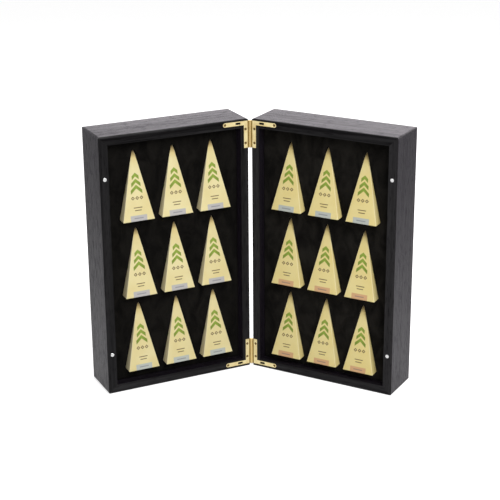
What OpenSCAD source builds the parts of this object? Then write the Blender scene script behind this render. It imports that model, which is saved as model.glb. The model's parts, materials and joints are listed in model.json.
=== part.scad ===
// Tea bag organizer: a book-style case of two mirrored trays that stand on end,
// hinged along their spines. Each tray holds pyramid-shaped tea cartons in a foam insert.
// A tray is drawn lying along x = width from the hinge axis, y = depth from the
// plane where the two trays meet, z = height from the table, then turned into place.

/* [Case] */
// Height of each tray
case_h = 360; // [340:1:420]
// Width of each tray
case_w = 212.2; // [206:0.1:240]
// Thickness of the outer side board
outer_t = 12.2; // [11.2:0.1:18]
// Thickness of the spine side board
spine_t = 11.3; // [9.8:0.1:14]
// Thickness of the top and bottom boards
cap_t = 12; // [11.8:0.2:16]
// Thickness of the back board
back_t = 10; // [8:0.5:11]
// Radius of the rounded back edges
back_r = 4; // [2:0.5:10]
// Radius of the eased upright edges in front
ease_r = 1.2; // [0.5:0.1:2.2]
// Radius of the rounded edges in front and at the sides of each end
end_r = 2.5; // [1:0.1:2.5]
// Angle between the two trays' faces at rest
open_angle = 125.1; // [60:0.1:180]
// Gap between the two rims when the case is shut
shut_gap = 0.5; // [0.4:0.1:1.5]

/* [Insert] */
// Depth of the insert's face behind the rim
insert_set = 12.6; // [8:0.1:14]
// Thickness of the foam behind a carton's back corner
foam_behind = 9.3; // [2:0.1:14]
// Gap between the insert's sides and the boards
insert_gap = 0.2; // [0:0.1:0.5]
// Gap between a carton and its pocket
pocket_gap = 0.4; // [0.3:0.1:0.8]

/* [Tea cartons] */
// Side of a carton's square base
tea_base = 44.5; // [36:0.1:46]
// Height of a carton, from its base to its tip
tea_h = 92.6; // [70:0.1:95]
// Width of a carton's blunt tip
tip_w = 3.2; // [2:0.1:5]
// Thickness of the carton's card
card_t = 0.5; // [0.4:0.1:0.8]
// Angle that a carton leans forward in its pocket
tea_lean = 2.5; // [0:0.1:8]
// Depth of a carton's lowest front edge behind the rim
tea_set = 0.75; // [0.5:0.05:2]
// Distance between neighbouring columns of cartons
column_pitch = 55.2; // [50:0.1:58]
// Sideways shift of the columns from the middle of a tray, to the right in both trays
column_shift = 1.2; // [0:0.1:3]
// Height of the right tray's lowest row above the table
row_base = 23.7; // [20:0.1:30]
// Extra height of the left tray's rows
left_rise = 2.9; // [0:0.1:4]
// Distance from the right tray's highest tips to the top of the case
row_top = 29.4; // [18:0.1:32]
// Number of columns of cartons in a tray
column_count = 3; // [3:3]
// Number of rows of cartons in a tray
row_count = 3; // [3:3]

/* [Tea bags] */
// Side of a tea bag's square base
bag_base = 33; // [24:0.5:35]
// Height of a tea bag
bag_h = 42; // [30:1:44]
// Thickness of the stem that stands on a tea bag
stem_d = 1.6; // [1:0.1:2]
// Length of the stem
stem_l = 22; // [10:1:28]
// Width of the paper leaf at the stem's top
leaf_w = 7; // [4:0.5:8]

/* [Hinges] */
// Width of a leaf's upright leg, from the pin's axis
leg_w = 8.8; // [8.6:0.1:9.6]
// Height of a leaf and of its barrel
leg_h = 37.4; // [34:0.1:50]
// Length of a leaf's arm, from the pin's axis
arm_l = 39.4; // [36:0.1:60]
// Width of a leaf's arm
arm_w = 5.8; // [5.2:0.1:6.6]
// Thickness of a leaf
leaf_t = 1.6; // [1.2:0.1:1.8]
// Radius of the barrel
barrel_r = 2.1; // [1.9:0.05:2.15]
// Radius of the pin
pin_r = 1; // [0.8:0.05:1.1]
// Gap between the pin and the bore of the knuckles, on the radius
pin_gap = 0.05; // [0.02:0.01:0.1]
// Gap between neighbouring knuckles
knuckle_gap = 0.3; // [0.2:0.05:0.5]
// Gap between a leaf's plate and the other leaf's knuckles
barrel_gap = 0.1; // [0.1:0.05:0.3]
// Number of knuckles in a barrel
knuckle_count = 5; // [3:2:7]
// Radius of the pin's button heads
button_r = 1.4; // [1.3:0.1:1.8]
// Height of the pin's button heads
button_h = 0.3; // [0.2:0.1:1]
// Distance from the pin's axis to each tray's spine
spine_gap = 2.2; // [2.2:0.05:5]
// Distance from a leaf's arm to the end of the case
hinge_inset = 2.6; // [2.6:0.1:3]
// Extra distance of the bottom hinge from its end of the case
bottom_rise = 1.1; // [0:0.1:2]
// Length of the slot in the arm
slot_l = 7.2; // [4:0.1:10]
// Width of the slot in the arm
slot_w = 3; // [1:0.1:3]
// Distance from the pin's axis to the middle of the slot
slot_at = 17.4; // [15:0.1:19]
// Depth of the recess under the slot
slot_deep = 6; // [3:0.5:10]
// Gap between a leaf and its mortise
mortise_gap = 0.1; // [0.05:0.05:0.3]

/* [Screws] */
// Radius of a screw's head
head_r = 1.8; // [1.6:0.1:2]
// Height of a screw's countersunk head
head_h = 1.2; // [0.8:0.1:1.2]
// Radius of a screw's shank
shank_r = 1; // [0.8:0.1:1.2]
// Length of a screw
screw_l = 12; // [8:0.5:16]
// Gap between a screw and its hole, on the radius
screw_gap = 0.05; // [0.02:0.01:0.1]
// Width of the slot in a screw's head
driver_w = 0.5; // [0.3:0.1:0.6]
// Depth of the slot in a screw's head
driver_deep = 0.5; // [0.3:0.1:0.6]
// Distance from the arm's tip to its screw
arm_screw = 3; // [2.8:0.1:6]
// Distance from the pin's axis to the leg's screws
leg_screw = 6.4; // [6.2:0.1:6.6]
// Distance from the arm's end of the leg to its first screw
leg_screw_1 = 11.2; // [9:0.1:13]
// Distance from the foot of the leg to its other screw
leg_screw_2 = 6.8; // [4:0.1:9]

/* [Magnets] */
// Radius of a magnet
magnet_r = 2.6; // [2:0.1:4]
// Thickness of a magnet
magnet_t = 3; // [1.5:0.1:5]
// Distance from a magnet's axis to the outer edge of the case
magnet_edge = 7; // [6:0.1:7.2]
// Distance from a magnet to the nearer end of the case
magnet_end = 57; // [40:1:120]
// Gap between a magnet and its hole, on the radius
magnet_gap = 0.05; // [0.02:0.01:0.1]

/* [Hidden] */
$fn = 64;
eps = 0.01;          // overlap that makes a cut run clean through a face
over = 1;            // length by which a cut runs past an open face
// Side view of a leaning carton, from its lowest front edge: depth, height
tip_y = tea_base / 2 * cos(tea_lean) - tea_h * sin(tea_lean);
tip_z = tea_base / 2 * sin(tea_lean) + tea_h * cos(tea_lean);
heel_y = tea_base * cos(tea_lean);
heel_z = tea_base * sin(tea_lean);
crown_y = tip_y + tip_w / 2 * cos(tea_lean);
crown_z = tip_z + tip_w / 2 * sin(tea_lean);
side_slope = atan((tea_base - tip_w) / 2 / tea_h);
pocket_back = atan((heel_y - crown_y) / (crown_z - heel_z));

// Depth of a tray, which its deepest pocket and the foam behind it set
case_d = tea_set + heel_y + pocket_gap / cos(pocket_back) + foam_behind + back_t;
rim_y = shut_gap / 2;
back_y = rim_y + case_d;
floor_y = back_y - back_t;
insert_y = rim_y + insert_set;
spine_x = spine_gap;
outer_x = spine_gap + case_w;
half_angle = (180 - open_angle) / 2;

// Columns of cartons centred between the side boards, and rows spread over the tray's height
tray_x = (spine_x + spine_t + outer_x - outer_t) / 2;
tea_y = rim_y + tea_set;
row_pitch = (case_h - row_top - tip_z - row_base) / (row_count - 1);
function column_x(side, c) = tray_x + (side == "left" ? -column_shift : column_shift)
    + (c - (column_count - 1) / 2) * column_pitch;
function row_z(side, r) = row_base + (side == "left" ? left_rise : 0) + r * row_pitch;
tea_count = row_count * column_count;
TEA = [for (i = [1 : tea_count]) i];

// Hinge
slot_x = slot_at;
arm_mid = hinge_inset + arm_w / 2;
knuckle_h = leg_h / knuckle_count;
plate_x = barrel_r + barrel_gap;
leg_foot = hinge_inset + leg_h;

// Depth of the case's outline at rest, from the pin's axis, which centres it on y = 0
front_reach = (outer_x - ease_r) * sin(half_angle) - (rim_y + ease_r) * cos(half_angle) + ease_r;
back_reach = (back_y - back_r) * cos(half_angle) - (spine_x + back_r) * sin(half_angle) + back_r;
hinge_y = (front_reach - back_reach) / 2;

TRAY = ["top_board", "bottom_board", "outer_board", "spine_board", "back_board", "insert", "magnets",
    "hinge_screws"];
HINGE = ["left_leaf", "right_leaf", "pin"];

wood = [0.16, 0.155, 0.16];
velvet = [0.07, 0.065, 0.06];
brass = [0.86, 0.68, 0.32];
nickel = [0.85, 0.86, 0.88];
card = [0.93, 0.88, 0.68];
tea = [0.45, 0.33, 0.16];

// Turns a tray that lies along x into its place at rest
module at_rest(side) {
    if (side == "left")
        mirror([1, 0, 0]) at_rest("right") children();
    else
        translate([0, hinge_y, 0]) rotate([0, 0, -half_angle]) children();
}

// Repeats a piece drawn at the bottom of the case, mirrored at the top
module at_end(end) {
    if (end == "top")
        translate([0, 0, case_h]) mirror([0, 0, 1]) children();
    else
        children();
}

// Repeats a hinge's piece, drawn at the foot of its place, at either end
module hinge_end(end) {
    at_end(end) translate([0, 0, end == "bottom" ? bottom_rise : 0]) children();
}

// Boards

// What lies outside a corner of radius r at the origin, in the first quadrant
module corner(r) {
    difference() {
        translate([-over, -over]) square(r + over);
        translate([r, r]) circle(r);
    }
}

// Rectangle w by h with corners of radius r0 at the bottom and r1 at the top
module rounded(w, h, r0, r1) {
    difference() {
        square([w, h]);
        corner(r0);
        translate([w, 0]) mirror([1, 0]) corner(r0);
        translate([0, h]) mirror([0, 1]) corner(r1);
        translate([w, h]) mirror([1, 0]) mirror([0, 1]) corner(r1);
    }
}

// Outside of a whole tray: upright front edges eased, and the ends' and the back edges rounded
module outside() {
    translate([spine_x, rim_y, 0]) intersection() {
        linear_extrude(case_h) rounded(case_w, case_d, ease_r, back_r);
        translate([0, case_d, 0]) rotate([90, 0, 0]) linear_extrude(case_d)
            rounded(case_w, case_h, end_r, end_r);
        rotate([90, 0, 90]) linear_extrude(case_w) side_profile();
    }
}

// Depth by height of a tray, its edges rounded
module side_profile() {
    translate([0, case_h]) rotate(-90) rounded(case_h, case_d, end_r, back_r);
}

// A board's outline in x and z, mitred to its neighbours, carried from the rim to the back board
module mitred(outline) {
    translate([0, floor_y, 0]) rotate([90, 0, 0]) linear_extrude(floor_y - rim_y) polygon(outline);
}

module end_board(end) {
    color(wood) difference() {
        intersection() {
            outside();
            at_end(end) mitred([[spine_x, 0], [outer_x, 0], [outer_x - outer_t, cap_t],
                [spine_x + spine_t, cap_t]]);
        }
        hinge_end(end) leaf_mortise();
    }
}

module outer_board() {
    color(wood) difference() {
        intersection() {
            outside();
            mitred([[outer_x, 0], [outer_x, case_h], [outer_x - outer_t, case_h - cap_t],
                [outer_x - outer_t, cap_t]]);
        }
        for (end = ["top", "bottom"]) at_end(end) magnet(magnet_gap, over);
    }
}

module spine_board() {
    color(wood) difference() {
        intersection() {
            outside();
            mitred([[spine_x, 0], [spine_x + spine_t, cap_t], [spine_x + spine_t, case_h - cap_t],
                [spine_x, case_h]]);
        }
        for (end = ["top", "bottom"]) hinge_end(end) leaf_mortise();
    }
}

module back_board() {
    color(wood) intersection() {
        outside();
        translate([spine_x, floor_y, 0]) cube([case_w, back_t, case_h]);
    }
}

// Insert

// The way a carton takes out of its pocket: its outline from the front, cut off by its leaning back
module pocket() {
    half = tea_base / 2 + pocket_gap;
    half_top = tip_w / 2 + pocket_gap;
    top_z = crown_z + pocket_gap;
    mouth_y = insert_set - tea_set - over;
    back_gap = pocket_gap / cos(pocket_back);
    intersection() {
        translate([0, floor_y, 0]) rotate([90, 0, 0]) linear_extrude(floor_y)
            polygon([[-half, -pocket_gap], [half, -pocket_gap], [half, heel_z],
                [half_top, top_z], [-half_top, top_z], [-half, heel_z]]);
        rotate([90, 0, 90]) translate([0, 0, -tea_base]) linear_extrude(2 * tea_base)
            polygon([[mouth_y, mouth_y * tan(tea_lean) - pocket_gap],
                [heel_y + back_gap, heel_z - pocket_gap],
                [crown_y + back_gap, crown_z],
                [crown_y + back_gap, top_z + over],
                [mouth_y, top_z + over]]);
    }
}

module insert(side) {
    x0 = spine_x + spine_t + insert_gap;
    x1 = outer_x - outer_t - insert_gap;
    z0 = cap_t + insert_gap;
    z1 = case_h - cap_t - insert_gap;
    color(velvet) difference() {
        translate([x0, insert_y, z0]) cube([x1 - x0, floor_y - insert_y, z1 - z0]);
        for (r = [0 : row_count - 1], c = [0 : column_count - 1])
            translate([column_x(side, c), tea_y, row_z(side, r)]) pocket();
    }
}

// Tea cartons and tea bags

// Square pyramid on z = 0 with a flat tip
module pyramid(base, tip, height) {
    b = base / 2;
    t = tip / 2;
    polyhedron([[-b, -b, 0], [b, -b, 0], [b, b, 0], [-b, b, 0],
            [-t, -t, height], [t, -t, height], [t, t, height], [-t, t, height]],
        [[0, 1, 2, 3], [1, 0, 4, 5], [2, 1, 5, 6], [3, 2, 6, 7], [0, 3, 7, 4], [7, 6, 5, 4]]);
}

// Stands a carton or its bag in pocket i, counted along the rows from the bottom left of a tray
module in_pocket(side, i) {
    k = i - 1;
    across = k % column_count;
    c = side == "left" ? column_count - 1 - across : across;
    at_rest(side) translate([column_x(side, c), tea_y, row_z(side, floor(k / column_count))])
        rotate([tea_lean, 0, 0]) translate([0, tea_base / 2, 0]) children();
}

// Width of a carton's inside at height z
function inner_w(z) = tea_base - 2 * (z * tan(side_slope) + card_t / cos(side_slope));

module tea_carton(side, i) {
    color(card) in_pocket(side, i) difference() {
        pyramid(tea_base, tip_w, tea_h);
        translate([0, 0, card_t]) pyramid(inner_w(card_t), inner_w(tea_h - card_t), tea_h - 2 * card_t);
    }
}

module tea_bag(side, i) {
    color(tea) in_pocket(side, i) translate([0, 0, card_t]) {
        pyramid(bag_base, stem_d, bag_h);
        translate([0, 0, bag_h - stem_l / 2]) cylinder(h = stem_l, d = stem_d);
        translate([-leaf_w / 2, -stem_d / 4, bag_h + stem_l / 4]) cube([leaf_w, stem_d / 2, leaf_w / 2]);
    }
}

// Hinges, drawn at the bottom of the right tray

// Outline of a leaf in x and z, grown by gap, with its leg starting at x0
module leaf_outline(x0, gap) {
    arm_end = arm_l - arm_w / 2;
    translate([x0, hinge_inset - gap]) square([leg_w + gap - x0, leg_h + 2 * gap]);
    translate([x0, hinge_inset - gap]) square([arm_end - x0, arm_w + 2 * gap]);
    translate([arm_end, arm_mid]) circle(arm_w / 2 + gap);
}

// Carries an outline in x and z back from the rim by depth
module from_rim(depth) {
    translate([0, rim_y + depth, 0]) rotate([90, 0, 0]) linear_extrude(depth + over) children();
}

function screw_places() = [
    [arm_l - arm_screw, arm_mid],
    [leg_screw, hinge_inset + leg_screw_1],
    [leg_screw, leg_foot - leg_screw_2]];

// Countersunk screw standing in from the rim, its radius grown by gap
module screw(gap) {
    rotate([-90, 0, 0]) {
        cylinder(h = head_h, r1 = head_r + gap, r2 = shank_r + gap);
        cylinder(h = screw_l, r = shank_r + gap);
    }
}

module screws_at(gap) {
    for (p = screw_places()) translate([p[0], rim_y, p[1]]) screw(gap);
}

// Room in the boards for a leaf, its screws and the recess under its slot
module leaf_mortise() {
    from_rim(leaf_t) leaf_outline(spine_x - over, mortise_gap);
    screws_at(screw_gap);
    slot_cut(slot_deep);
}

module slot_cut(depth) {
    translate([slot_x - slot_l / 2, rim_y - over, arm_mid - slot_w / 2])
        cube([slot_l, depth + over, slot_w]);
}

// Knuckle k of the barrel, counted from the end of the case
module knuckle(k, radius) {
    first = k == 0 ? 0 : knuckle_gap / 2;
    last = k == knuckle_count - 1 ? 0 : knuckle_gap / 2;
    translate([0, 0, hinge_inset + k * knuckle_h + first])
        cylinder(h = knuckle_h - first - last, r = radius);
}

// Plate that joins knuckle k to the leaf, along the rim
module knuckle_web(k) {
    first = k == 0 ? 0 : knuckle_gap / 2;
    last = k == knuckle_count - 1 ? 0 : knuckle_gap / 2;
    translate([0, rim_y, hinge_inset + k * knuckle_h + first])
        cube([plate_x + eps, leaf_t, knuckle_h - first - last]);
}

// A leaf whose knuckles are every other one from number start
module leaf(start) {
    difference() {
        union() {
            translate([0, rim_y + leaf_t, 0]) rotate([90, 0, 0]) linear_extrude(leaf_t)
                leaf_outline(plate_x, 0);
            for (k = [start : 2 : knuckle_count - 1]) {
                knuckle(k, barrel_r);
                knuckle_web(k);
            }
        }
        translate([0, 0, hinge_inset - over]) cylinder(h = leg_h + 2 * over, r = pin_r + pin_gap);
        screws_at(screw_gap);
        slot_cut(leaf_t + over);
    }
}

module hinge_leaf(side, end) {
    color(brass) at_rest(side) hinge_end(end) leaf(side == "left" ? 0 : 1);
}

module hinge_pin(end) {
    color(brass) at_rest("left") hinge_end(end) translate([0, 0, hinge_inset]) {
        cylinder(h = leg_h, r = pin_r);
        translate([0, 0, -button_h]) cylinder(h = button_h, r = button_r);
        translate([0, 0, leg_h]) cylinder(h = button_h, r = button_r);
    }
}

module hinge_screws() {
    color(brass) for (end = ["top", "bottom"]) hinge_end(end) difference() {
        screws_at(0);
        for (p = screw_places())
            translate([p[0] - head_r - over, rim_y - over, p[1] - driver_w / 2])
                cube([2 * (head_r + over), over + driver_deep, driver_w]);
    }
}

// Magnets

// Magnet at the bottom of the outer board, its radius grown by gap and its face carried out by proud
module magnet(gap, proud) {
    translate([outer_x - magnet_edge, rim_y - proud, magnet_end]) rotate([-90, 0, 0])
        cylinder(h = magnet_t + proud, r = magnet_r + gap);
}

module magnets() {
    color(nickel) for (end = ["top", "bottom"]) at_end(end) magnet(0, 0);
}

// All pieces

for (side = ["left", "right"]) {
    at_rest(side) end_board("top");
    at_rest(side) end_board("bottom");
    at_rest(side) outer_board();
    at_rest(side) spine_board();
    at_rest(side) back_board();
    at_rest(side) insert(side);
    at_rest(side) magnets();
    at_rest(side) hinge_screws();
}
for (end = ["top", "bottom"]) {
    hinge_leaf("left", end);
    hinge_leaf("right", end);
    hinge_pin(end);
}
for (side = ["left", "right"], i = TEA) {
    tea_carton(side, i);
    tea_bag(side, i);
}
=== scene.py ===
import json
import math

import bmesh
import bpy
import numpy as np
from mathutils import Matrix

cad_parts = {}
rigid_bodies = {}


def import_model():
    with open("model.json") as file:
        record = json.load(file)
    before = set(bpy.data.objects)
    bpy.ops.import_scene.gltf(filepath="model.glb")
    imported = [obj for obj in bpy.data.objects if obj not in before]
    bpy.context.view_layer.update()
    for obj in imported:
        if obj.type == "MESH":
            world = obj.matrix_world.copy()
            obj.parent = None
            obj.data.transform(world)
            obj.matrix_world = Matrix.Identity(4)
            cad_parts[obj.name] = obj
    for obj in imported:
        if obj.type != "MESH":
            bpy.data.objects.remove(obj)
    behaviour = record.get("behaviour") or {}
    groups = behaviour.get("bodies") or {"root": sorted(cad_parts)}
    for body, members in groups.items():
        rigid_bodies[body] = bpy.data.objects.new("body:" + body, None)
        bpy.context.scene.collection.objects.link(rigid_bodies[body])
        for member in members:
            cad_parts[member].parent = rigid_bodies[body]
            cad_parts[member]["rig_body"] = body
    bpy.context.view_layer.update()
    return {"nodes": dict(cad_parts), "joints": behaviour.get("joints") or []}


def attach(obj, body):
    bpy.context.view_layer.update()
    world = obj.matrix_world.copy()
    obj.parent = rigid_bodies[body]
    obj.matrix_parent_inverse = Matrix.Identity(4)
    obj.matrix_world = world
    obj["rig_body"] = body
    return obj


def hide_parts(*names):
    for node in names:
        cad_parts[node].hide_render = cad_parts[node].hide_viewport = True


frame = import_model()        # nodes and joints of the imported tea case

nodes = frame["nodes"]
mm = 0.001
sides = ("left", "right")
ends = ("bottom", "top")
print("frame loaded:", len(nodes), "nodes")


view = {
    "place": (0.0546, -1.8030, 0.8333),  # metres
    "turn": -0.03054,                    # radians to the right of straight ahead
    "tilt": 0.34688,                     # radians below level
    "roll": -0.00725,
    "lens": 101.46,                      # mm, on a sensor 36 mm wide
}


def addCamera():
    # the camera's turn is Rz(-turn) Rx(90 deg - tilt) Rz(roll)
    data = bpy.data.cameras.new("camera")
    data.sensor_width = 36
    data.lens = view["lens"]
    camera = bpy.data.objects.new("camera", data)
    bpy.context.scene.collection.objects.link(camera)
    turned = (Matrix.Rotation(-view["turn"], 4, "Z")
              @ Matrix.Rotation(math.pi / 2 - view["tilt"], 4, "X")
              @ Matrix.Rotation(view["roll"], 4, "Z"))
    camera.matrix_world = Matrix.Translation(view["place"]) @ turned
    bpy.context.scene.camera = camera


addCamera()
bpy.context.scene.view_settings.view_transform = "Standard"


class Graph:
    # a material's node tree, with short calls for its nodes and sums

    def __init__(self, owner):
        owner.use_nodes = True
        self.tree = owner.node_tree

    def node(self, kind, **settings):
        # one node with its settings
        made = self.tree.nodes.new(kind)
        for name, value in settings.items():
            setattr(made, name, value)
        return made

    def put(self, socket, value):
        # a socket is linked, and a plain value is set
        if isinstance(value, bpy.types.NodeSocket):
            self.tree.links.new(value, socket)
        else:
            socket.default_value = value

    def math(self, operation, first, second=0.0, third=0.0, clamp=False):
        # one sum of up to three sockets or numbers
        made = self.node("ShaderNodeMath", operation=operation, use_clamp=clamp)
        for socket, value in zip(made.inputs, (first, second, third)):
            self.put(socket, value)
        return made.outputs[0]

    def mix(self, amount, first, second):
        # first + (second - first) amount, for colours
        made = self.node("ShaderNodeMix", data_type="RGBA", clamp_factor=True)
        self.put(made.inputs["Factor"], amount)
        self.put(made.inputs["A"], first)
        self.put(made.inputs["B"], second)
        return made.outputs["Result"]

    def spread(self, value, fromLow, fromHigh, low=0.0, high=1.0):
        # value taken from its own range to another, and held inside it
        made = self.node("ShaderNodeMapRange", clamp=True)
        for socket, number in zip(made.inputs, (value, fromLow, fromHigh, low, high)):
            self.put(socket, number)
        return made.outputs["Result"]

    def noise(self, place, scale, detail=2.0, roughness=0.5, distortion=0.0):
        # even noise with scale bumps to the metre of place
        made = self.node("ShaderNodeTexNoise")
        self.put(made.inputs["Vector"], place)
        for name, value in (("Scale", scale), ("Detail", detail), ("Roughness", roughness),
                            ("Distortion", distortion)):
            made.inputs[name].default_value = value
        return made.outputs["Fac"]

    def place(self, turn=0.0, stretch=(1, 1, 1)):
        # the piece's own coordinates, turned back about the upright axis and then stretched
        made = self.node("ShaderNodeMapping", vector_type="TEXTURE")
        made.inputs["Rotation"].default_value = (0, 0, turn)
        made.inputs["Scale"].default_value = [1 / factor for factor in stretch]
        start = self.node("ShaderNodeTexCoord")
        self.put(made.inputs["Vector"], start.outputs["Object"])
        return made.outputs["Vector"]

    def bump(self, height, depth, strength=1.0, under=None):
        # a height of depth metres, on top of another bump
        made = self.node("ShaderNodeBump")
        made.inputs["Strength"].default_value = strength
        made.inputs["Distance"].default_value = depth
        self.put(made.inputs["Height"], height)
        if under is not None:
            self.put(made.inputs["Normal"], under)
        return made.outputs["Normal"]


def newMaterial(name, **finish):
    # a material whose even values are set straight on the shader's sockets
    material = bpy.data.materials.new(name)
    graph = Graph(material)
    shader = graph.tree.nodes["Principled BSDF"]
    for socket, value in finish.items():
        shader.inputs[socket.replace("_", " ")].default_value = value
    return material, graph, shader


floorSet = {
    "reach": 4.0,               # metres from the case to the floor's edge
    "white": 0.80,              # the floor's own paint
    "glow": 0.62,               # what the eye gets besides the lit paint
    "near": (0.80, 1.05),       # brightness that gloss mirrors by the case, in front of it and beside it
    "far": (0.05, 1.18, 0.45),  # and a metre away, straight ahead, aslant and beside it
    "fall": (0.2, 1.1),         # metres from the case over which near gives way to far
    "ahead": (-0.75, -0.35),    # lean over which straight ahead gives way to aslant
    "beside": (0.02, 0.18),     # and over which the front gives way to the sides
}


def floorMaterial():
    # the eye gets lit paint and a glow; gloss mirrors near + (far - near) fall, where fall grows with the
    # distance sqrt(x x + y y) from the case, and near and far change round it with lean = 0.6 |x| + y
    material, graph, shader = newMaterial("palePaper", Roughness=0.9)
    rays = graph.node("ShaderNodeLightPath")
    gloss = rays.outputs["Is Glossy Ray"]
    plain = graph.math("MAXIMUM", rays.outputs["Is Camera Ray"], rays.outputs["Is Transmission Ray"])
    parts = graph.node("ShaderNodeSeparateXYZ")
    graph.put(parts.inputs[0], graph.place())
    x, y = parts.outputs["X"], parts.outputs["Y"]
    away = graph.math("SQRT", graph.math("MULTIPLY_ADD", x, x, graph.math("MULTIPLY", y, y)))
    lean = graph.math("MULTIPLY_ADD", graph.math("ABSOLUTE", x), 0.6, y)
    ahead, aslant, beside = floorSet["far"]
    near = graph.spread(lean, *floorSet["beside"], *floorSet["near"])
    far = graph.math("MINIMUM", graph.spread(lean, *floorSet["ahead"], ahead, aslant),
                     graph.spread(lean, *floorSet["beside"], aslant, beside))
    fall = graph.spread(away, *floorSet["fall"])
    mirrored = graph.math("MULTIPLY_ADD", graph.math("SUBTRACT", far, near), fall, near)
    glow = graph.math("MULTIPLY", plain, floorSet["glow"])
    glow = graph.math("MULTIPLY_ADD", gloss, mirrored, glow)
    paint = (floorSet["white"],) * 3 + (1,)
    graph.put(shader.inputs["Base Color"], graph.mix(gloss, paint, (0, 0, 0, 1)))
    shader.inputs["Emission Color"].default_value = (1, 1, 1, 1)
    graph.put(shader.inputs["Emission Strength"], glow)
    return material


def addFloor():
    # one square, reach to each side
    reach = floorSet["reach"]
    mesh = bpy.data.meshes.new("floor")
    mesh.from_pydata([(-reach, -reach, 0), (reach, -reach, 0), (reach, reach, 0), (-reach, reach, 0)],
                     [], [(0, 1, 2, 3)])
    mesh.materials.append(floorMaterial())
    floor = bpy.data.objects.new("floor", mesh)
    bpy.context.scene.collection.objects.link(floor)


ambient = 0.34      # brightness of the world where it lights


def lightWorld():
    # white where it is seen, and ambient where it lights
    world = bpy.data.worlds.new("studio")
    bpy.context.scene.world = world
    graph = Graph(world)
    graph.tree.nodes.clear()
    rays = graph.node("ShaderNodeLightPath")
    seen = graph.math("MAXIMUM", rays.outputs["Is Camera Ray"], rays.outputs["Is Glossy Ray"])
    seen = graph.math("MAXIMUM", seen, rays.outputs["Is Transmission Ray"])
    sky = graph.node("ShaderNodeBackground")
    sky.inputs["Color"].default_value = (1, 1, 1, 1)
    graph.put(sky.inputs["Strength"], graph.spread(seen, 0, 1, ambient, 1.0))
    out = graph.node("ShaderNodeOutputWorld")
    graph.put(out.inputs["Surface"], sky.outputs["Background"])


lamps = {
    # name: (place, what it looks at, width, height, watts, colour), in metres
    "overhead": ((0.1, 0.5, 1.5), (0, 0, 0.3), 1.6, 0.9, 12, (1, 1, 1)),
    "behind": ((0.7, 1.7, 1.02), (0.2, 0, 0.36), 2.6, 0.9, 11.5, (1, 0.925, 0.985)),
    "front": ((0.8, -1.55, 1.9), (0, 0, 0.15), 1.2, 1.2, 43, (1, 1, 1)),
}


def addLamp(name, place, target, width, height, watts, colour):
    # a soft rectangle turned towards its target
    data = bpy.data.lights.new(name, "AREA")
    data.shape = "RECTANGLE"
    data.size = width
    data.size_y = height
    data.energy = watts
    data.color = colour
    lamp = bpy.data.objects.new(name, data)
    bpy.context.scene.collection.objects.link(lamp)
    aim = Matrix.Translation(target).translation - Matrix.Translation(place).translation
    lamp.matrix_world = Matrix.Translation(place) @ aim.to_track_quat("-Z", "Y").to_matrix().to_4x4()


addFloor()
lightWorld()
for name, setup in lamps.items():
    addLamp(name, *setup)
print("camera, floor and lamps ready")


def jointNamed(name):
    # the frame's row for the joint of that name
    return next(joint for joint in frame["joints"] if joint["name"] == name)


pinAt = np.array(jointNamed("case_hinge")["pos_m"], float)


def trayAxes(side):
    # rows: rightwards along the tray, into the tray, and up; a carton lifts straight out of the tray
    inward = -np.array(jointNamed(side + "_tea_1_lift")["axis"], float)
    return np.array([[inward[1], -inward[0], 0], inward, [0, 0, 1]])


def toTray(side, points):
    # room to tray: the point less the pin's axis, along the tray's three directions
    return (points - pinAt) @ trayAxes(side).T


def toRoom(side, points):
    # and back again
    return points @ trayAxes(side) + pinAt


def trayTurn(side):
    # angle about the pins from the room's x axis to the tray's rightward direction
    right = trayAxes(side)[0]
    return math.atan2(right[1], right[0])


def verticesOf(node):
    # the node's points as rows of x, y, z
    mesh = nodes[node].data
    flat = np.empty(len(mesh.vertices) * 3)
    mesh.vertices.foreach_get("co", flat)
    return flat.reshape(-1, 3)


def trayBox(side, node):
    # lowest and highest corner of a node, in its tray's directions
    points = toTray(side, verticesOf(node))
    return points.min(0), points.max(0)


def addPiece(name, points, faces, materials, body):
    # a smooth mesh that rides on a body
    mesh = bpy.data.meshes.new(name)
    mesh.from_pydata(points.tolist(), [], faces)
    for material in materials:
        mesh.materials.append(material)
    mesh.polygons.foreach_set("use_smooth", np.full(len(mesh.polygons), True))
    piece = bpy.data.objects.new(name, mesh)
    bpy.context.scene.collection.objects.link(piece)
    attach(piece, body)
    return piece


def ringFaces(ringCount, around, first=0):
    # quads between neighbouring closed rings of points
    ring, step = np.meshgrid(np.arange(ringCount - 1), np.arange(around), indexing="ij")
    here = first + ring * around + step
    beside = first + ring * around + (step + 1) % around
    return np.stack([here, beside, beside + around, here + around], -1).reshape(-1, 4)


def closeUp(piece):
    # doubles merged, then every face turned outwards
    shape = bmesh.new()
    shape.from_mesh(piece.data)
    bmesh.ops.remove_doubles(shape, verts=shape.verts, dist=0.001 * mm)
    bmesh.ops.recalc_face_normals(shape, faces=shape.faces)
    shape.to_mesh(piece.data)
    shape.free()


def bodyOf(node):
    # the body that a node moves with
    return nodes[node]["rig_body"]


eased = {
    "merge": 0.002 * mm,            # points closer than this are one
    "level": math.radians(0.8),     # triangles that lean less than this become one face
    "sharp": math.radians(35),      # edges that turn more than this are rounded
}


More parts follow.
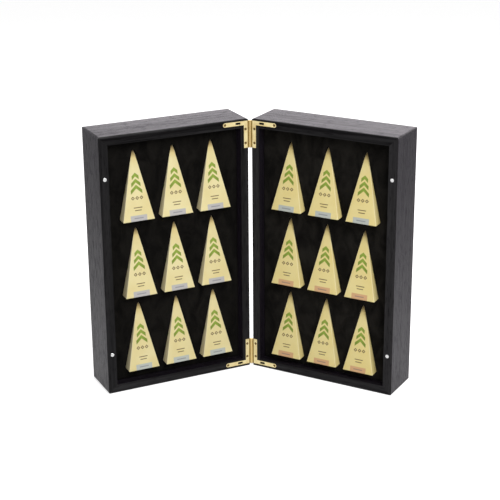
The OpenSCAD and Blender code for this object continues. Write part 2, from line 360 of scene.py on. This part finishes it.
def easedCopy(node, width, steps, material, slot):
    # the node's own solid, its triangles merged into whole faces and its sharp edges rounded by width
    shape = bmesh.new()
    shape.from_mesh(nodes[node].data)
    bmesh.ops.remove_doubles(shape, verts=shape.verts, dist=eased["merge"])
    bmesh.ops.dissolve_limit(shape, angle_limit=eased["level"], verts=shape.verts, edges=shape.edges)
    mesh = bpy.data.meshes.new(node + "_eased")
    shape.to_mesh(mesh)
    shape.free()
    custom = mesh.attributes.get("custom_normal")
    if custom:
        mesh.attributes.remove(custom)
    mesh.materials.clear()
    mesh.materials.append(material)
    mesh.polygons.foreach_set("use_smooth", np.full(len(mesh.polygons), True))
    piece = bpy.data.objects.new(node + "_eased", mesh)
    bpy.context.scene.collection.objects.link(piece)
    ease = piece.modifiers.new("eased edges", "BEVEL")
    ease.width = width
    ease.segments = steps
    ease.limit_method = "ANGLE"
    ease.angle_limit = eased["sharp"]
    ease.harden_normals = True
    ease.use_clamp_overlap = True
    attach(piece, bodyOf(node))
    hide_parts(node)


wood = {
    "dark": (0.0022, 0.0019, 0.0022, 1),
    "light": (0.0085, 0.0075, 0.0088, 1),
    "poreColour": (0.002, 0.002, 0.002, 1),
    "bloom": 0.05,                      # weight of the lacquer's violet bloom
    "bloomSoft": 0.4,                   # its roughness
    "bloomTint": (0.8, 0.55, 1.0, 1),
    "gloss": 0.24,                      # roughness of the satin lacquer before the grain adds its own
    "reflect": 0.22,                    # how strongly the lacquer mirrors
    "uprightContrast": 0.3,             # how much that changes over the upright boards, of 1
    "acrossContrast": 0.7,              # and over the top and bottom boards
    "streaks": (190.0, 5.0, 5.0, 0.62, 0.25),   # to the metre across the grain and along it, then the
    "pores": (950.0, 70.0, 2.0, 0.5),           # noise's detail, roughness and distortion
    "figure": (14.0, 1.6, 3.0, 0.5, 0.6),
    "contour": (0.38, 0.62),            # noise over which the tone goes from dark to light
    "poreEdge": (0.56, 0.66),           # and over which a pore sinks in
    "poreDepth": 0.12 * mm,
    "ridge": 0.6 * mm,                  # height of the grain's ridges
}


def grainNoise(graph, turn, grainAxis, kind):
    # noise stretched along the grain by across / along
    across, along, *look = wood[kind]
    stretch = [across] * 3
    stretch[grainAxis] = along
    return graph.noise(graph.place(turn, stretch), 1.0, *look)


def stainedWood(name, turn, grainAxis, contrast):
    # long streaks along grainAxis with short pores sunk in them: the tone follows (figure + streak) / 2, the
    # shine 0.4 figure + 0.6 streak, and a faint violet bloom shows where the lacquer is seen at a low angle
    material, graph, shader = newMaterial(name, Sheen_Weight=wood["bloom"], Sheen_Roughness=wood["bloomSoft"],
                                          Sheen_Tint=wood["bloomTint"])
    streak, pore, figure = [grainNoise(graph, turn, grainAxis, kind)
                            for kind in ("streaks", "pores", "figure")]
    sunk = graph.spread(pore, *wood["poreEdge"])
    tone = graph.math("MULTIPLY_ADD", figure, 0.5, graph.math("MULTIPLY", streak, 0.5))
    colour = graph.mix(graph.spread(tone, *wood["contour"]), wood["dark"], wood["light"])
    colour = graph.mix(graph.math("MULTIPLY", sunk, 0.6), colour, wood["poreColour"])
    graph.put(shader.inputs["Base Color"], colour)
    low, high = wood["reflect"] * (1 - contrast), wood["reflect"] * (1 + contrast)
    shine = graph.math("MULTIPLY_ADD", figure, 0.4, graph.math("MULTIPLY", streak, 0.6))
    shine = graph.spread(shine, *wood["contour"], low, high)
    graph.put(shader.inputs["Specular IOR Level"],
              graph.math("MULTIPLY", shine, graph.math("MULTIPLY_ADD", sunk, -0.5, 1.0)))
    duller = graph.math("MULTIPLY_ADD", sunk, 0.2, wood["gloss"])
    graph.put(shader.inputs["Roughness"], graph.math("MULTIPLY_ADD", streak, 0.22, duller))
    ridge = graph.bump(streak, wood["ridge"], 0.6)
    level = graph.math("SUBTRACT", 1.0, sunk)
    graph.put(shader.inputs["Normal"], graph.bump(level, wood["poreDepth"], 0.8, ridge))
    return material


upright = stainedWood("stainedUpright", 0, 2, wood["uprightContrast"])
for side in sides:
    across = stainedWood(side + "StainedAcross", trayTurn(side), 0, wood["acrossContrast"])
    for board in ("top_board", "bottom_board", "outer_board", "spine_board", "back_board"):
        grain = across if board in ("top_board", "bottom_board") else upright
        nodes[side + "_" + board].data.materials[0] = grain
print("boards stained")


velvet = {
    "deep": (0.0014, 0.0012, 0.0010),
    "pale": (0.0076, 0.0068, 0.0058),
    "lift": {"left": 1.0, "right": 1.7},    # painted light: how much brighter each tray's velvet is painted
    "dull": 0.95,                           # roughness
    "shine": 0.08,
    "sheen": 0.022,
    "sheenSoft": 0.45,
    "sheenTint": (0.9, 0.85, 0.8, 1),
    "fibres": 2600.0,                       # to the metre
    "strokes": 55.0,                        # brushed patches to the metre
    "contour": (0.40, 0.62),                # noise over which the tone goes from deep to pale
    "fibreDepth": 0.25 * mm,
    "strokeDepth": 0.6 * mm,
}


def velvetMaterial(name, lift):
    # flock brushed in soft patches: the tone follows 0.7 brushed + 0.3 pile, and lift, painted light,
    # brightens all of it
    material, graph, shader = newMaterial(name, Roughness=velvet["dull"], Specular_IOR_Level=velvet["shine"],
                                          Sheen_Weight=velvet["sheen"], Sheen_Roughness=velvet["sheenSoft"],
                                          Sheen_Tint=velvet["sheenTint"])
    pile = graph.noise(graph.place(), velvet["fibres"], 2.0, 0.6)
    brushed = graph.noise(graph.place(stretch=(1, 1, 0.6)), velvet["strokes"], 4.0, 0.6, 0.8)
    tone = graph.math("MULTIPLY_ADD", brushed, 0.7, graph.math("MULTIPLY", pile, 0.3))
    deep, pale = [[part * lift for part in velvet[depth]] + [1] for depth in ("deep", "pale")]
    graph.put(shader.inputs["Base Color"], graph.mix(graph.spread(tone, *velvet["contour"]), deep, pale))
    soft = graph.bump(brushed, velvet["strokeDepth"], 0.35)
    graph.put(shader.inputs["Normal"], graph.bump(pile, velvet["fibreDepth"], 0.6, soft))
    return material


insertSet = {
    "gap": 0.4 * mm,                    # around a carton
    "corner": 1.0 * mm,                 # radius of a pocket's corners, seen from the front
    "lip": 1.1 * mm,                    # radius of the rolled lip of a pocket
    "edge": 1.5 * mm,                   # radius of the insert's own front edge
    "shallow": 1.2,                     # least depth of a pocket below its mouth, in lips
    "heart": 0.3,                       # where a floor's rings close, as a share of the pocket's height
    "flat": 12,                         # steps along the bottom of a pocket, and round its top
    "turnSteps": 4,                     # steps round a bottom or top corner
    "heelSteps": 2,                     # steps where the side begins to slope
    "slope": 13,                        # steps up a sloping side
    "roll": 4,                          # steps over a rolled lip or edge
    "shelf": (0, 0.5, 0.88),            # rings on the flat front, from a cell's edge to the lip
    "wall": (0.35, 0.7, 1.0),           # rings down a pocket's wall
    "floor": (0.85, 0.6, 0.3, 0.04),    # rings on its floor, from the wall to the heart
}


def cartonSize(side, i):
    # a carton's base side, tip width, height and lean, worked out from its solid in the tray's directions:
    # its box is base cos(lean) deep and height cos(lean) + (base + tip) / 2 sin(lean) high
    points = toTray(side, verticesOf(f"{side}_tea_carton_{i}"))
    low, high = points.min(0), points.max(0)
    upper = points[points[:, 2] > (low[2] + high[2]) / 2]
    base = high[0] - low[0]
    tip = upper[:, 0].max() - upper[:, 0].min()
    lean = math.acos((high[1] - low[1]) / base)
    height = (high[2] - low[2] - (base + tip) / 2 * math.sin(lean)) / math.cos(lean)
    return low, high, base, tip, height, lean


def pocketPath(half, bottom, heel, halfTop, top):
    # rounded outline of a pocket: inset corners, and the outward direction at each step round them
    corner = insertSet["corner"]
    corners = np.array([[-half, bottom], [half, bottom], [half, heel],
                        [halfTop, top], [-halfTop, top], [-half, heel]])
    leaving = np.roll(corners, -1, 0) - corners
    normals = np.stack([leaving[:, 1], -leaving[:, 0]], 1)
    normals /= np.linalg.norm(normals, axis=1)[:, None]
    before = np.roll(normals, 1, 0)
    inset = corners - corner * (before + normals) / (1 + (before * normals).sum(1))[:, None]
    startAngle = np.arctan2(before[:, 1], before[:, 0])
    turn = (np.arctan2(normals[:, 1], normals[:, 0]) - startAngle + math.pi) % (2 * math.pi) - math.pi
    steps = insertSet
    turns, heels, level = steps["turnSteps"], steps["heelSteps"], steps["flat"]
    arcs = [turns, turns, heels, turns, turns, heels]
    straights = [level - turns, 1, steps["slope"], level - 2 * turns, steps["slope"], 1]
    centres, angles = [], []
    for k in range(6):
        angles.append(startAngle[k] + turn[k] * np.linspace(0, 1, arcs[k] + 1))
        centres.append(np.repeat(inset[k][None], arcs[k] + 1, 0))
        onward = np.linspace(0, 1, straights[k] + 1)[1:-1, None]
        centres.append(inset[k] + (inset[(k + 1) % 6] - inset[k]) * onward)
        angles.append(np.full(len(onward), startAngle[k] + turn[k]))
    start = steps["turnSteps"] // 2     # the path starts half way round the bottom left corner
    return np.roll(np.concatenate(centres), -start, 0), np.roll(np.concatenate(angles), -start)


def rectanglePath(x0, x1, z0, z1, columns, rows):
    # columns steps along each level edge and rows steps up each side, from the bottom left
    level = np.linspace(x0, x1, columns + 1)[:-1]
    rise = np.linspace(z0, z1, rows + 1)[:-1]
    bottom = np.stack([level, np.full(columns, z0)], 1)
    right = np.stack([np.full(rows, x1), rise], 1)
    return np.concatenate([bottom, right, np.array([x0 + x1, z0 + z1]) - bottom,
                           np.array([x0 + x1, z0 + z1]) - right])


def pocketRings(cell, size, face):
    # rings from a cell's edge over the pocket's lip, down its walls and across its leaning floor: the lip's
    # ring at angle a is the outline grown by lip (1 - sin a), and lip (1 - cos a) deep, and the back lies
    # at tipDeep + gap / cos(backAngle) + (rise - z) tan(backAngle)
    low, high, base, tip, height, lean = size
    gap, lip, corner = insertSet["gap"], insertSet["lip"], insertSet["corner"]
    middle = (low[0] + high[0]) / 2
    heel = base * math.sin(lean)
    tipDeep = (base + tip) / 2 * math.cos(lean) - height * math.sin(lean)
    rise = high[2] - low[2]
    backAngle = math.atan((base * math.cos(lean) - tipDeep) / (rise - heel))
    backGap = gap / math.cos(backAngle)
    mouth = face - low[1]
    bottom = mouth * math.tan(lean) - gap
    centres, angles = pocketPath(base / 2 + gap, bottom, heel, tip / 2 + gap, rise + gap)
    outward = np.stack([np.cos(angles), np.sin(angles)], 1)

    def outline(grow):
        return centres + outward * (corner + grow)

    def backDepth(z):
        return tipDeep + backGap + (rise - z) * math.tan(backAngle)

    edge = cell - [middle, low[2]]
    lipStart = outline(lip)
    rings = [(edge * (1 - share) + lipStart * share, mouth) for share in insertSet["shelf"]]
    for a in np.linspace(0, math.pi / 2, insertSet["roll"] + 1):
        rings.append((outline(lip * (1 - math.sin(a))), mouth + lip * (1 - math.cos(a))))
    wall = outline(0)
    shallow = mouth + lip * insertSet["shallow"]
    floor = np.clip(backDepth(np.maximum(wall[:, 1], heel - gap)), shallow, None)
    for share in insertSet["wall"]:
        depth = mouth + lip + (floor - mouth - lip) * share
        level = np.maximum(wall[:, 1], depth * math.tan(lean) - gap)
        rings.append((np.stack([wall[:, 0], level], 1), depth))
    last = rings[-1][0]
    heart = np.array([0, rise * insertSet["heart"]])
    for share in insertSet["floor"]:
        spot = heart + (last - heart) * share
        rings.append((spot, np.clip(backDepth(spot[:, 1]), shallow, None)))
    depths = [np.broadcast_to(depth, len(ring)) for ring, depth in rings]
    points = [np.stack([ring[:, 0], depth, ring[:, 1]], 1) for (ring, _), depth in zip(rings, depths)]
    return np.concatenate(points) + [middle, low[1], low[2]], len(rings)


def steppedLines(lines, steps):
    # steps even parts between each two neighbouring lines
    parts = [np.linspace(a, b, steps + 1)[:-1] for a, b in zip(lines, lines[1:])]
    return np.concatenate(parts + [lines[-1:]])


def addInsert(side, material):
    # nine pockets in cells that share their edges, and a skirt with the rolled front edge, whose ring at
    # angle a stands edge sin a out and edge (1 - cos a) deep
    low, high = trayBox(side, side + "_insert")
    sizes = [cartonSize(side, i) for i in range(1, 10)]
    edge = insertSet["edge"]
    middles = np.array([(size[0][0] + size[1][0]) / 2 for size in sizes[:3]])
    bottoms = np.array([size[0][2] for size in sizes[::3]])
    rise = sizes[0][1][2] - sizes[0][0][2]
    xLines = np.concatenate([[low[0] + edge], (middles[1:] + middles[:-1]) / 2, [high[0] - edge]])
    zLines = np.concatenate([[low[2] + edge], (bottoms[1:] + bottoms[:-1] + rise) / 2, [high[2] - edge]])
    columns = insertSet["flat"]
    rows = insertSet["turnSteps"] // 2 + 1 + insertSet["heelSteps"] + insertSet["slope"]
    around = 2 * (columns + rows)
    points, faces, first = [], [], 0
    for i, size in enumerate(sizes):
        c, r = i % 3, i // 3
        cell = rectanglePath(xLines[c], xLines[c + 1], zLines[r], zLines[r + 1], columns, rows)
        made, rings = pocketRings(cell, size, low[1])
        points.append(made)
        faces += ringFaces(rings, around, first).tolist()
        faces.append(list(range(first + (rings - 1) * around, first + rings * around)))
        first += len(made)
    # rolled edge, sides and back
    border = rectanglePath(0, 1, 0, 1, 3 * columns, 3 * rows)
    place = np.rint(border * [3 * columns, 3 * rows]).astype(int)
    x = steppedLines(xLines, columns)[place[:, 0]]
    z = steppedLines(zLines, rows)[place[:, 1]]
    outX = (place[:, 0] == 3 * columns).astype(float) - (place[:, 0] == 0)
    outZ = (place[:, 1] == 3 * rows).astype(float) - (place[:, 1] == 0)
    angles = np.linspace(0, math.pi / 2, insertSet["roll"] + 1)
    grows = np.append(edge * np.sin(angles), edge)
    depths = np.append(edge * (1 - np.cos(angles)), high[1] - low[1])
    skirt = [np.stack([x + outX * grow, np.full(len(x), low[1] + depth), z + outZ * grow], 1)
             for grow, depth in zip(grows, depths)]
    points += skirt
    faces += ringFaces(len(skirt), len(x), first).tolist()
    last = first + (len(skirt) - 1) * len(x)
    faces.append(list(range(last, last + len(x))))
    node = side + "_insert"
    points = toRoom(side, np.concatenate(points))
    piece = addPiece(side + "_velvet_insert", points, faces, [material], bodyOf(node))
    closeUp(piece)
    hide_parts(node)


for side in sides:
    # each tray's velvet is a copy brightened by its own painted light
    addInsert(side, velvetMaterial(side + "Velvet", velvet["lift"][side]))
print("inserts laid")


carton = {
    "fold": 0.55 * mm,      # radius of a folded edge
    "nose": 7.0 * mm,       # height over which the tip draws in
    "draw": 0.5,            # share by which it draws in at the very tip
    "belly": 0.30 * mm,     # how far a panel swells
    "foldSteps": 3,         # steps round half of an upright fold
    "panelSteps": 8,        # steps across a panel
    "rollSteps": 4,         # steps round the folded edge of the base, and of the tip
    "climb": (0.02, 0.90, 20),      # rings up a panel: first and last share of its height, and how many
    "climbNose": (0.92, 0.985, 7),  # the same over the nose
    "net": 60 * mm,         # width of one panel's place in the UV map
    "reach": 100 * mm,      # height of the UV map
}


def cartonShape(base, tip, height):
    # each ring is a square of half side h = (base - (base - tip) z / height) / 2, its corners rounded by r:
    # x = s (h - r) + r sin a and y = h - r + r cos a + swell (1 - s s), with s from -1 to 1 on a panel and a
    # turning at its ends, and swell = belly sin(pi sqrt(z / height)); over the nose h shrinks by the factor
    # 1 - draw n n, where n runs from 0 to 1
    fold, half, halfTip = carton["fold"], base / 2, tip / 2
    folds, panels = carton["foldSteps"], carton["panelSteps"]
    bend = np.radians(np.linspace(-45, 0, folds + 1))
    slide = np.concatenate([np.full(folds, -1.0), np.linspace(-1, 1, panels + 1), np.full(folds, 1.0)])
    turn = np.concatenate([bend[:-1], np.zeros(panels + 1), -bend[-2::-1]])
    perPanel = len(slide) - 1
    # the way from the middle of the base, round its folded edge, up to the tip and over its own edge
    roll = np.radians(np.linspace(0, 90, carton["rollSteps"] + 1))
    climb = np.concatenate([np.linspace(*carton["climb"]), np.linspace(*carton["climbNose"])])
    up = np.concatenate([[0, 0], fold * (1 - np.cos(roll)), climb * height,
                         height - fold * (1 - np.sin(roll[1:])), [height]])
    out = np.concatenate([[half * 0.5, half - 3 * fold], half - fold + fold * np.sin(roll),
                          half - (half - halfTip) * climb,
                          halfTip - fold * (1 - np.cos(roll[1:])), [halfTip * 0.3]])
    out *= 1 - carton["draw"] * np.clip(1 - (height - up) / carton["nose"], 0, 1) ** 2
    radius = np.minimum(fold, out * 0.7)
    share = np.clip(up / height, 0, 1)
    swell = carton["belly"] * np.sin(math.pi * np.sqrt(share))
    x = slide[None, :] * (out - radius)[:, None] + radius[:, None] * np.sin(turn)
    y = (out - radius)[:, None] + radius[:, None] * np.cos(turn) + swell[:, None] * (1 - slide ** 2)
    rings = []
    for k in range(4):      # front, right, back and left panels
        c, s = round(math.cos(k * math.pi / 2)), round(math.sin(k * math.pi / 2))
        px, py = x[:, :-1], -y[:, :-1]
        rings.append(np.stack([px * c - py * s, px * s + py * c, np.repeat(up[:, None], perPanel, 1)], -1))
    points = np.concatenate(rings, 1)
    around = 4 * perPanel
    faces = ringFaces(len(up), around)
    # every quad keeps its own panel's place in the net
    slope = math.hypot(height, half - halfTip) / height
    ring, step = np.meshgrid(np.arange(len(up) - 1), np.arange(around), indexing="ij")
    panel, place = step // perPanel, step % perPanel
    run = x + radius[:, None] * (turn - np.sin(turn))
    corners = [(ring, place), (ring, place + 1), (ring + 1, place + 1), (ring + 1, place)]
    u = np.stack([(panel + 0.5) / 4 + run[a, b] / (4 * carton["net"]) for a, b in corners], -1)
    v = np.stack([up[a] * slope / carton["reach"] for a, b in corners], -1)
    uv = np.stack([u, v], -1).reshape(-1, 2)
    wornAndHighlit = np.tile(np.abs(turn[:-1]) > 0, 4)
    return points.reshape(-1, 3), faces, uv, around, len(up), wornAndHighlit


def addCarton(side, i, material):
    # the upright shape leans about its base, to y cos(lean) - z sin(lean) deep and
    # y sin(lean) + z cos(lean) high
    low, high, base, tip, height, lean = cartonSize(side, i)
    points, faces, uv, around, rings, wornAndHighlit = cartonShape(base, tip, height)
    c, s = math.cos(lean), math.sin(lean)
    local = np.stack([points[:, 0] + (low[0] + high[0]) / 2,
                      points[:, 1] * c - points[:, 2] * s + low[1] + base / 2 * c,
                      points[:, 1] * s + points[:, 2] * c + low[2] + base / 2 * s], 1)
    closing = [list(range(around))[::-1], list(range((rings - 1) * around, rings * around))]
    node = f"{side}_tea_carton_{i}"
    name = f"{side}_folded_carton_{i}"
    piece = addPiece(name, toRoom(side, local), faces.tolist() + closing, [material], bodyOf(node))
    layer = piece.data.uv_layers.new(name="net")
    caps = np.tile([0.5, 0.0], (2 * around, 1))
    layer.data.foreach_set("uv", np.concatenate([uv, caps]).ravel())
    wearAndHighlight = piece.data.attributes.new("foldWearAndHighlight", "FLOAT", "POINT")
    wearAndHighlight.data.foreach_set("value", np.tile(wornAndHighlit, rings).astype(np.float32))
    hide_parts(node)


card = {
    "left": ((0.76, 0.67, 0.36, 1), (0.72, 0.61, 0.29, 1)),     # stock, and its clouds; each tray's stock is a painted copy of one card, the right one more saturated as painted light for that tray
    "right": ((0.80, 0.68, 0.31, 1), (0.77, 0.63, 0.25, 1)),
    "plain": (0.74, 0.68, 0.55, 1),         # greyer, mixed into the left panel as painted shade
    "leftPanelShadeShare": 0.35,
    "wornAndHighlit": (0.90, 0.83, 0.56, 1),          # rubbed folds, lighter: paper wear and a painted highlight
    "wornAndHighlitShare": 0.6,
    "tipShadeGold": ((0.62, 0.44, 0.15, 1), (76.0, 89.0), 0.6),         # colour, millimetres up the slope, share: painted shade, golden, towards the tip
    # painted shade at the very tip, dark brown, where the panels close
    "tip": ((0.21, 0.14, 0.045, 1), (84.0, 92.5), 1.0),
    "gloss": 0.42,
    "fibres": 900.0,                        # to the metre
    "clouds": 30.0,
    "raised": 0.08 * mm,                    # height of the label and the fibres
}
artwork = {     # in millimetres: across from a panel's middle, and up its slope
    "green": (0.26, 0.36, 0.045, 1),
    "deepGreen": (0.19, 0.26, 0.03, 1),
    "ink": (0.13, 0.085, 0.035, 1),
    "dash": (0.10, 0.10, 0.15, 1),
    "chevrons": ((62.0, 4.8), (54.0, 6.4), (46.0, 8.0)),        # height and half width
    "chevronHalf": 2.5,                     # half the thickness of a chevron
    "chevronEdge": 0.25,                    # softness of its edge
    "chevronSlope": 0.9,
    "chevronShade": (0, 6),                 # over which its green deepens, from the middle outwards
    "lozenges": (31.0, 3.0, 9.0),           # height, half the pitch, half the row's width
    "lozengeRing": (1.9, 0.7),              # a lozenge's size, and half the thickness of its line
    "rowEdge": 0.1,                         # softness of the row's ends
    "rules": ((18.2, 6.0), (14.6, 4.6)),    # height and half width
    "ruleHalf": 0.55,
    "label": (3.0, 5.0, 11.5),              # height, half height, half width
    "labelDash": (4.2, 0.7, 6.5),
    "dashEdge": 0.3,                        # softness of the label's dash
    "dashShare": 0.55,                      # and how much it covers
    "edge": 0.2,                            # softness of any other printed edge
}
labels = {
    "lavender": (0.465, 0.45, 0.44, 1),
    "blue": (0.47, 0.50, 0.46, 1),
    "rose": (0.65, 0.39, 0.20, 1),
}


def within(graph, value, middle, half, soft):
    # 1 where |value - middle| < half, falling to 0 over soft
    away = graph.math("ABSOLUTE", graph.math("SUBTRACT", value, middle))
    return graph.math("MULTIPLY_ADD", away, -1 / soft, half / soft + 0.5, clamp=True)


def printedBox(graph, x, v, height, halfHeight, halfWidth, softV=artwork["edge"], softX=artwork["edge"]):
    # 1 inside a box about x = 0 and v = height
    across = within(graph, x, 0.0, halfWidth, softX)
    return graph.math("MULTIPLY", within(graph, v, height, halfHeight, softV), across)


def addChevrons(graph, x, v, colour):
    # a chevron is the band |v + slope |x| - height| < half, cut off at its own width
    away = graph.math("ABSOLUTE", x)
    lifted = graph.math("MULTIPLY_ADD", away, artwork["chevronSlope"], v)
    soft = artwork["chevronEdge"]
    green = 0.0
    for height, halfWidth in artwork["chevrons"]:
        stripe = printedBox(graph, x, lifted, height, artwork["chevronHalf"], halfWidth, soft, soft)
        green = graph.math("MAXIMUM", green, stripe)
    shade = graph.mix(graph.spread(away, *artwork["chevronShade"]), artwork["green"], artwork["deepGreen"])
    return graph.mix(green, colour, shade)


def addInk(graph, x, v, front, colour):
    # a row of open lozenges, each the band | |x'| + |v - height| - size | < half, and two rules below it
    height, halfPitch, halfRow = artwork["lozenges"]
    size, half = artwork["lozengeRing"]
    aside = graph.math("PINGPONG", x, halfPitch)
    lozenge = graph.math("ADD", aside, graph.math("ABSOLUTE", graph.math("SUBTRACT", v, height)))
    ink = printedBox(graph, x, lozenge, size, half, halfRow, softX=artwork["rowEdge"])
    for height, halfWidth in artwork["rules"]:
        ink = graph.math("MAXIMUM", ink, printedBox(graph, x, v, height, artwork["ruleHalf"], halfWidth))
    return graph.mix(graph.math("MULTIPLY", ink, front), colour, artwork["ink"])


def addLabel(graph, x, v, front, colour, label):
    # a plain label that runs down to the front edge, with one faint dash
    patch = graph.math("MULTIPLY", printedBox(graph, x, v, *artwork["label"]), front)
    dash = printedBox(graph, x, v, *artwork["labelDash"], artwork["dashEdge"], artwork["dashEdge"])
    dash = graph.math("MULTIPLY", dash, graph.math("MULTIPLY", patch, artwork["dashShare"]))
    return graph.mix(dash, graph.mix(patch, colour, label), artwork["dash"]), patch


def cardMaterial(name, stock, label):
    # printed card: x and v are millimetres across a panel and up its slope, and the strip counts the panels
    material, graph, shader = newMaterial(name, Specular_IOR_Level=0.35)
    net = graph.node("ShaderNodeUVMap", uv_map="net")
    parts = graph.node("ShaderNodeSeparateXYZ")
    graph.put(parts.inputs[0], net.outputs["UV"])
    strip = graph.math("MULTIPLY", parts.outputs["X"], 4.0)
    x = graph.math("MULTIPLY", graph.math("SUBTRACT", graph.math("FRACT", strip), 0.5), carton["net"] / mm)
    v = graph.math("MULTIPLY", parts.outputs["Y"], carton["reach"] / mm)
    front = graph.math("LESS_THAN", strip, 1.0)
    leftPanel = graph.math("GREATER_THAN", strip, 3.0)
    fibre = graph.noise(graph.place(), card["fibres"], 3.0, 0.6)
    cloud = graph.noise(graph.place(), card["clouds"], 2.0, 0.5)
    fold = graph.node("ShaderNodeAttribute", attribute_name="foldWearAndHighlight")

    colour = graph.mix(graph.spread(cloud, 0.35, 0.65), *stock)
    # painted shade towards the tip: golden, then dark brown at the very tip
    for tint, heights, share in (card["tipShadeGold"], card["tip"]):
        colour = graph.mix(graph.spread(v, *heights, 0.0, share), colour, tint)
    # painted shade: the left panel greyer, as it is turned from the light
    colour = graph.mix(graph.math("MULTIPLY", leftPanel, card["leftPanelShadeShare"]), colour, card["plain"])
    # folds lighter: paper wear and a painted highlight along them
    colour = graph.mix(graph.math("MULTIPLY", fold.outputs["Fac"], card["wornAndHighlitShare"]), colour, card["wornAndHighlit"])
    colour = addChevrons(graph, x, v, colour)
    colour = addInk(graph, x, v, front, colour)
    colour, patch = addLabel(graph, x, v, front, colour, label)

    graph.put(shader.inputs["Base Color"], colour)
    graph.put(shader.inputs["Roughness"], graph.math("MULTIPLY_ADD", fibre, 0.16, card["gloss"]))
    raised = graph.math("MULTIPLY_ADD", patch, 0.6, graph.math("MULTIPLY", fibre, 0.25))
    graph.put(shader.inputs["Normal"], graph.bump(raised, card["raised"], 0.7))
    return material


def labelFor(side, i):
    # one colour to a row, counted from the bottom
    row = (i - 1) // 3
    if side == "left":
        return "blue" if row == 0 else "lavender"
    return "blue" if row == 2 else "rose"


for side in sides:
    # each tray's cartons take that tray's painted copy of the card stock
    printed = {name: cardMaterial(side + name.title() + "Card", card[side], tint)
               for name, tint in labels.items()}
    for i in range(1, 10):
        addCarton(side, i, printed[labelFor(side, i)])
print("cartons folded")


leaf = {
    "crumbs": 420.0,        # to the metre
    "mesh": 2400.0,
    "dark": (0.09, 0.055, 0.02, 1),
    "light": (0.36, 0.27, 0.11, 1),
    "thread": (0.72, 0.68, 0.58, 1),
    "depth": 0.4 * mm,
}


def teaMaterial():
    # dry leaf in crumbs, behind a fine mesh whose threads show where its noise is high
    material, graph, shader = newMaterial("meshedTea", Roughness=0.7)
    crumbs = graph.node("ShaderNodeTexVoronoi")
    crumbs.inputs["Scale"].default_value = leaf["crumbs"]
    graph.put(crumbs.inputs["Vector"], graph.place(stretch=(1, 1, 0.5)))
    mesh = graph.noise(graph.place(), leaf["mesh"], 1.0, 0.4)
    colour = graph.mix(crumbs.outputs["Distance"], leaf["dark"], leaf["light"])
    colour = graph.mix(graph.spread(mesh, 0.5, 0.62, 0.0, 0.6), colour, leaf["thread"])
    graph.put(shader.inputs["Base Color"], colour)
    graph.put(shader.inputs["Normal"], graph.bump(crumbs.outputs["Distance"], leaf["depth"], 0.5))
    return material


tea = teaMaterial()
for side in sides:
    for i in range(1, 10):
        nodes[f"{side}_tea_bag_{i}"].data.materials[0] = tea
print("tea bags filled")


metal = {
    # name: (colour, colour of its clouds, roughness, how much the brushing adds)
    "polishedBrass": ((0.98, 0.84, 0.46, 1), (0.88, 0.68, 0.32, 1), 0.25, 0.1),
    # screw heads painted dark brown: painted shade of their countersinks
    "shadedScrewBrass": ((0.24, 0.15, 0.055, 1), (0.15, 0.09, 0.028, 1), 0.29, 0.1),
    "brightNickel": ((0.90, 0.90, 0.90, 1), (0.6, 0.6, 0.6, 1), 0.11, 0.08),
}
barrel = {
    "colour": (0.80, 0.60, 0.25, 1),        # painted shade: the knuckles drawn darker than the leaves
    "grooveShade": (0.25, 0.155, 0.018, 1),     # painted shade in the grooves beside them
    "radius": 2.13 * mm,                    # where the knuckles end, from the pin's axis
    "crisp": 0.02 * mm,                     # half the width of the change there
    "groove": 3.4 * mm,                     # and where the painted groove shade ends
    "soft": 0.15 * mm,
}
polish = {
    "clouds": 140.0,                        # to the metre
    "lines": 5200.0,
    "depth": 0.02 * mm,
}


def metalMaterial(name):
    # polished metal with faint brushing and darker, duller clouds of handling; near the pins the colour
    # follows the distance sqrt(x x + y y) from their axis, first the knuckles' darker painted shade and then
    # the painted shade of the grooves
    colour, deep, gloss, brushed = metal[name]
    material, graph, shader = newMaterial(name, Metallic=1.0)
    cloud = graph.noise(graph.place(), polish["clouds"], 3.0, 0.55)
    lines = graph.noise(graph.place(stretch=(1, 1, 0.04)), polish["lines"], 2.0, 0.5)
    tone = graph.mix(graph.spread(cloud, 0.42, 0.75), colour, deep)
    parts = graph.node("ShaderNodeSeparateXYZ")
    graph.put(parts.inputs[0], graph.place())
    x = graph.math("SUBTRACT", parts.outputs["X"], pinAt[0])
    y = graph.math("SUBTRACT", parts.outputs["Y"], pinAt[1])
    away = graph.math("SQRT", graph.math("MULTIPLY_ADD", x, x, graph.math("MULTIPLY", y, y)))
    radius, crisp, groove, soft = [barrel[key] for key in ("radius", "crisp", "groove", "soft")]
    inner = graph.spread(away, radius - crisp, radius + crisp)
    outer = graph.spread(away, groove - soft, groove + soft, 1.0, 0.0)
    # the knuckles take a darker brass, painted shade
    tone = graph.mix(graph.math("SUBTRACT", 1.0, inner), tone, graph.mix(0.4, deep, barrel["colour"]))
    # painted shade in the grooves beside the knuckles
    stained = graph.math("MULTIPLY", inner, outer)
    graph.put(shader.inputs["Base Color"], graph.mix(stained, tone, barrel["grooveShade"]))
    duller = graph.math("MULTIPLY_ADD", lines, brushed, gloss)
    graph.put(shader.inputs["Roughness"], graph.math("MULTIPLY_ADD", cloud, 0.14, duller))
    graph.put(shader.inputs["Normal"], graph.bump(lines, polish["depth"], 0.4))
    return material


edges = {
    # name: (how wide a sharp edge is rounded, in how many steps)
    "leaf": (0.22 * mm, 2),
    "pin": (0.25 * mm, 3),
    "screws": (0.12 * mm, 2),
    "magnets": (0.35 * mm, 3),
}
brass, shadedScrewBrass, nickel = [metalMaterial(name) for name in metal]
for end in ends:
    for side in sides:
        easedCopy(f"{end}_hinge_{side}_leaf", *edges["leaf"], brass, "hinges")
    easedCopy(f"{end}_hinge_pin", *edges["pin"], brass, "hinges")
for side in sides:
    easedCopy(side + "_hinge_screws", *edges["screws"], shadedScrewBrass, "hinges")
    easedCopy(side + "_magnets", *edges["magnets"], nickel, "magnets")
print("hinges and magnets fitted")


bpy.context.view_layer.update()
